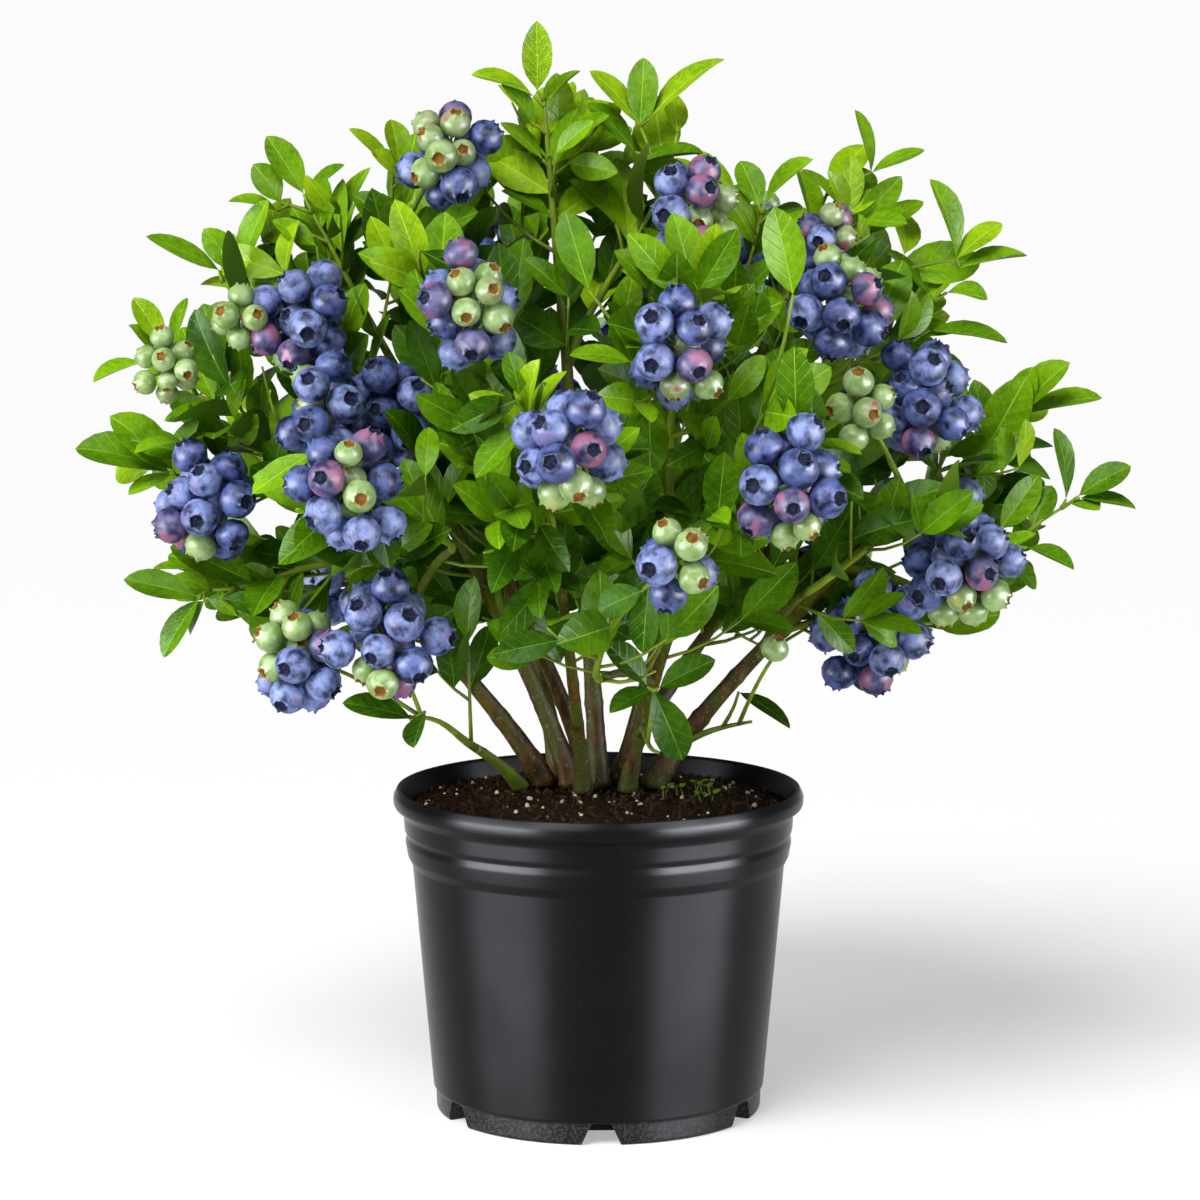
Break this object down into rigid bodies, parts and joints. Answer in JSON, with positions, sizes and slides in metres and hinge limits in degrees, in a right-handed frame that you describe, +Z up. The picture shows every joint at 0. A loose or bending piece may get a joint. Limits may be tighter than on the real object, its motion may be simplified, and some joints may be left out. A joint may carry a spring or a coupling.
{
  "type": "potted blueberry bush",
  "caption": "Rounded, many-stemmed blueberry bush with clusters of blue and green berries, standing in a black plastic nursery pot with a banded rim.",
  "frame": {"origin": "centre of the pot's flat underside", "axes": "+Z up along the pot's axis, +X to the right and -Y to the front as the plant is usually seen"},
  "size_m": [0.6125, 0.5675, 0.643],
  "materials": {
    "pot_plastic": "satin black polypropylene",
    "soil_mix": "moist bark and peat mix with white perlite grains",
    "bark": "brown bark with a green tinge",
    "young_bark": "smooth yellow-green young bark",
    "foliage": "glossy green leaves with dusty blue and pale green berries"
  },
  "bodies": {
    "root": {"pot": "pot_plastic", "soil": "soil_mix", "cane_left": "bark", "cane_low_left": "bark", "cane_upper_left": "bark", "cane_high_left": "bark", "cane_middle": "bark", "cane_high_right": "bark", "cane_right": "bark", "cane_low_right": "bark", "cane_front_left": "bark", "cane_front_right": "bark", "cane_back_left": "bark", "cane_back_right": "bark", "bough_front_left": "young_bark", "bough_far_left": "young_bark", "bough_top_left": "young_bark", "bough_high_far_right": "young_bark", "bough_far_right": "young_bark", "bough_front_high": "young_bark", "bough_front_low": "young_bark", "bough_side_right": "young_bark", "bough_side_left": "young_bark", "bough_back_high_left": "young_bark", "bough_back": "young_bark", "leaves_top": "foliage", "leaves_top_right": "foliage", "leaves_upper_right": "foliage", "leaves_high_right": "foliage", "leaves_high_far_right": "foliage", "leaves_right": "foliage", "leaves_far_right": "foliage", "leaves_low_right": "foliage", "leaves_side_right": "foliage", "leaves_front_right": "foliage", "leaves_front_high": "foliage", "leaves_front": "foliage", "leaves_front_high_left": "foliage", "leaves_top_left": "foliage", "leaves_high_left": "foliage", "leaves_upper_left": "foliage", "leaves_far_left": "foliage", "leaves_left": "foliage", "leaves_lower_left": "foliage", "leaves_front_left": "foliage", "leaves_low_left": "foliage", "leaves_front_low": "foliage", "leaves_low_front": "foliage", "leaves_low_inner_right": "foliage", "leaves_inner_left": "foliage", "leaves_inner_middle": "foliage", "leaves_inner_right": "foliage", "leaves_back_right": "foliage", "leaves_back": "foliage", "leaves_back_left": "foliage", "leaves_side_left": "foliage", "leaves_back_high_right": "foliage", "leaves_back_high_left": "foliage", "leaves_low_back_right": "foliage", "leaves_low_back_left": "foliage"}
  },
  "joints": []
}
